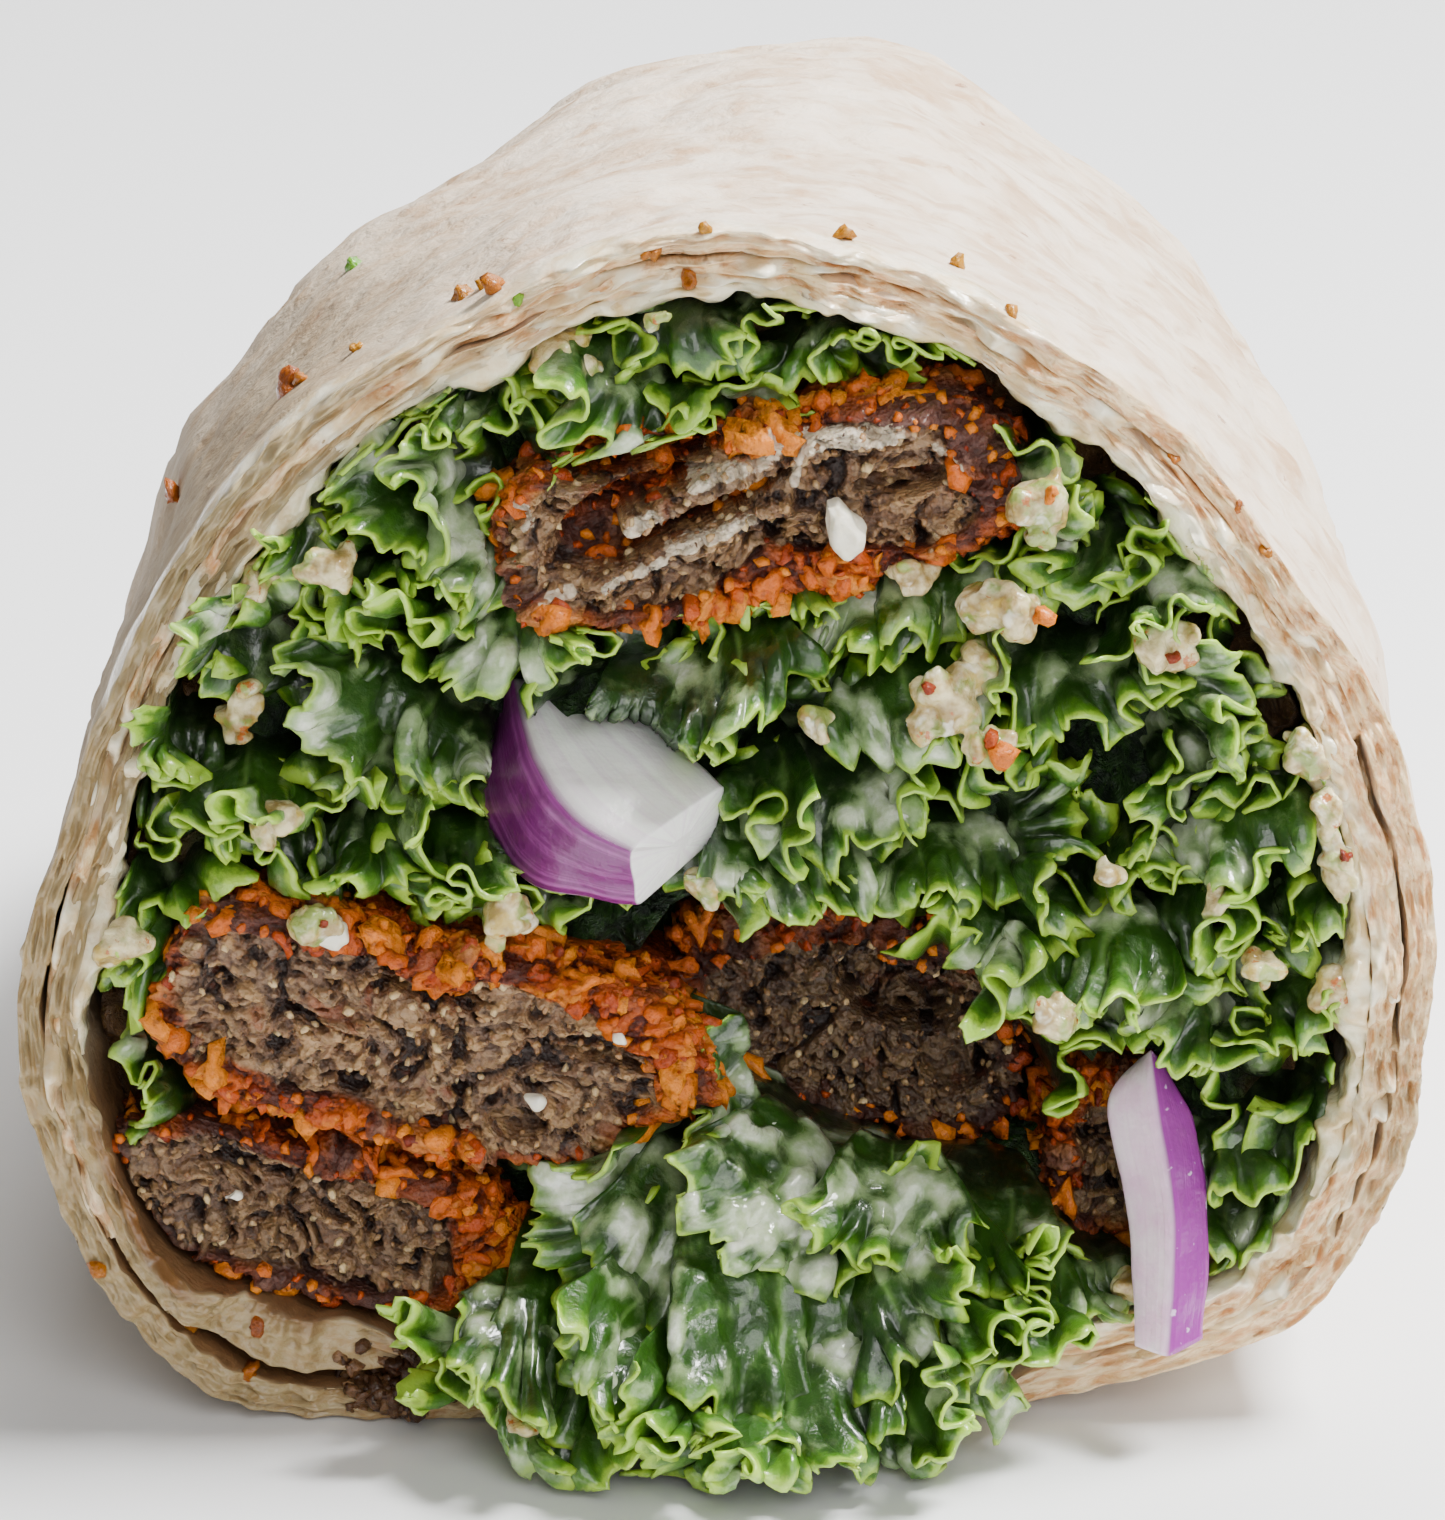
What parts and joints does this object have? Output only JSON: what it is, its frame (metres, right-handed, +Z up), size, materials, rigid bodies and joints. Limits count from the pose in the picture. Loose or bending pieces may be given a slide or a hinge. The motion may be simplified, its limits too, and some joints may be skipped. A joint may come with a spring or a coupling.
{
  "type": "caesar salad wrap half",
  "caption": "Half of a rolled flatbread wrap, cut across, filled with dressed curly kale, crumbed patty strips and red onion.",
  "frame": {"origin": "on the flat underside, in the middle of the face that the wrap rests on", "axes": "+Y runs along the roll from the cut end to the tucked end, +Z is up, +X is to the right when the cut end faces the viewer"},
  "size_m": [0.0723, 0.0995, 0.0638],
  "materials": {
    "flatbread": "dry, floury wheat flatbread with brown toasted flecks",
    "kale": "curly kale wet with creamy dressing",
    "crumbed_patty": "fried crumb crust round a grainy brown inside",
    "red_onion": "moist, pale lilac flesh with purple skin"
  },
  "bodies": {
    "root": {"tortilla": "flatbread", "kale_salad": "kale", "patty_strip_top": "crumbed_patty", "patty_strip_left": "crumbed_patty", "patty_strip_low": "crumbed_patty", "patty_strip_inner": "crumbed_patty", "patty_strip_right": "crumbed_patty", "onion_wedge": "red_onion", "onion_slice": "red_onion"}
  },
  "joints": []
}
